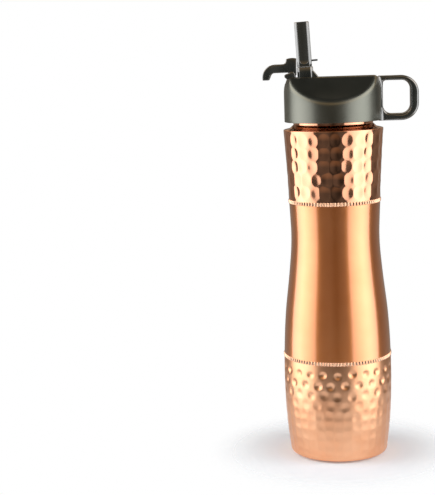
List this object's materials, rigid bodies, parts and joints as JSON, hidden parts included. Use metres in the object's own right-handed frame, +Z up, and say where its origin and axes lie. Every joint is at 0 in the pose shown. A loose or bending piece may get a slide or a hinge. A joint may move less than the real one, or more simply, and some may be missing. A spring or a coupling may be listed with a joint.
{
  "type": "copper water bottle",
  "caption": "Slim-waisted copper water bottle with hammered neck and foot, black screw lid, folding drinking spout with flip-over lock lever, and a carry loop.",
  "frame": {"origin": "centre of the flat underside, on the bottle's axis", "axes": "+Z up along the bottle's axis, +X towards the carry loop, -X towards the lock lever"},
  "size_m": [0.1101, 0.0788, 0.3139],
  "materials": {
    "polished_copper": "polished, hammered",
    "satin_copper": "satin, lacquered",
    "satin_black": "satin moulded",
    "gloss_black": "gloss moulded",
    "silicone": "matt",
    "straw_plastic": "translucent white",
    "steel": "drawn wire"
  },
  "bodies": {
    "bottle": {"base_plate": "satin_copper", "lower_band": "satin_copper", "lower_bead_ring": "satin_copper", "waist_shell": "satin_copper", "upper_bead_ring": "satin_copper", "upper_band": "polished_copper", "shoulder_ring": "polished_copper", "threaded_neck": "polished_copper"},
    "lid_seal": {"lid_gasket": "silicone"},
    "lid": {"lid_shell": "satin_black", "lid_liner": "satin_black", "carry_loop": "gloss_black", "straw_port": "satin_black", "straw": "straw_plastic", "port_seal": "silicone", "vent_seal": "silicone", "spout_pin_front": "steel", "spout_pin_back": "steel", "lever_pin": "steel"},
    "spout": {"spout_arm": "gloss_black", "mouthpiece": "gloss_black", "vent_plug": "silicone"},
    "lever": {"lock_lever": "gloss_black"}
  },
  "joints": [
    {"name": "lid_rise", "type": "slide", "parent": "bottle", "child": "lid_seal", "axis": [0, 0, 1], "range_m": [0, 0.006]},
    {"name": "lid_turn", "type": "hinge", "parent": "lid_seal", "child": "lid", "pos_m": [0, 0, 0.25], "axis": [0, 0, 1], "range_deg": [0, 540]},
    {"name": "spout_fold", "type": "hinge", "parent": "lid", "child": "spout", "pos_m": [-0.01845, 0, 0.2634], "axis": [0, 1, 0], "range_deg": [0, 93]},
    {"name": "lever_flip", "type": "hinge", "parent": "lid", "child": "lever", "pos_m": [-0.0285, 0, 0.2766], "axis": [0, 1, 0], "range_deg": [0, 180]}
  ],
  "couplings": [
    {"joint": "lid_rise", "follows": "lid_turn", "m_per_rad": 0.00063662},
    {"joint": "lever_flip", "follows": "spout_fold", "ratio": 1.935}
  ]
}
